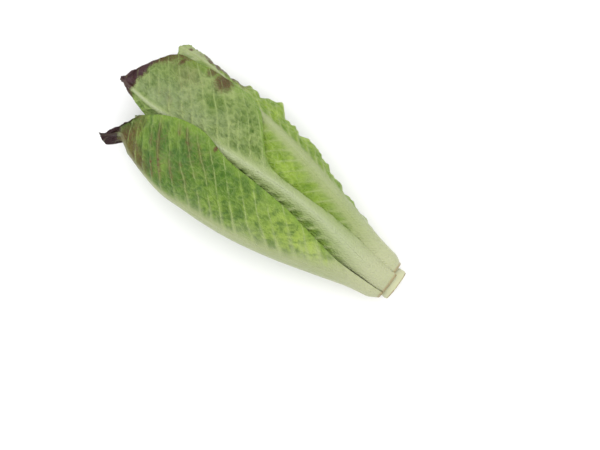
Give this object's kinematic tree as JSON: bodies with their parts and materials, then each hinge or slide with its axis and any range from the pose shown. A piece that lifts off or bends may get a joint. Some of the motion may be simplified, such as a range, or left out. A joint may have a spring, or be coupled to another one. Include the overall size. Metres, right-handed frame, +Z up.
{
  "type": "head of lettuce",
  "caption": "Cut head of red-tipped cos lettuce lying on its side: a stem with nested whorls of long cupped leaves.",
  "frame": {"origin": "under the middle of the head's bounding box, on the surface that it lies on", "axes": "+X along the head from the cut stem to the leaf tips, +Y across it, +Z up"},
  "size_m": [0.2642, 0.1058, 0.0748],
  "materials": {
    "stem_flesh": "satin",
    "outer_leaf": "satin",
    "second_leaf": "satin",
    "inner_leaf": "satin",
    "heart_leaf": "satin"
  },
  "bodies": {
    "root": {"stem": "stem_flesh", "outer_leaf_side": "outer_leaf", "outer_leaf_top": "outer_leaf", "outer_leaf_shoulder": "outer_leaf", "outer_leaf_under": "outer_leaf", "outer_leaf_floor": "outer_leaf", "second_leaf_1": "second_leaf", "second_leaf_2": "second_leaf", "second_leaf_3": "second_leaf", "second_leaf_4": "second_leaf", "second_leaf_5": "second_leaf", "third_leaf_1": "inner_leaf", "third_leaf_2": "inner_leaf", "third_leaf_3": "inner_leaf", "third_leaf_4": "inner_leaf", "third_leaf_5": "inner_leaf", "fourth_leaf_1": "inner_leaf", "fourth_leaf_2": "inner_leaf", "fourth_leaf_3": "inner_leaf", "fourth_leaf_4": "inner_leaf", "heart_leaf_1": "heart_leaf", "heart_leaf_2": "heart_leaf", "heart_leaf_3": "heart_leaf"}
  },
  "joints": []
}
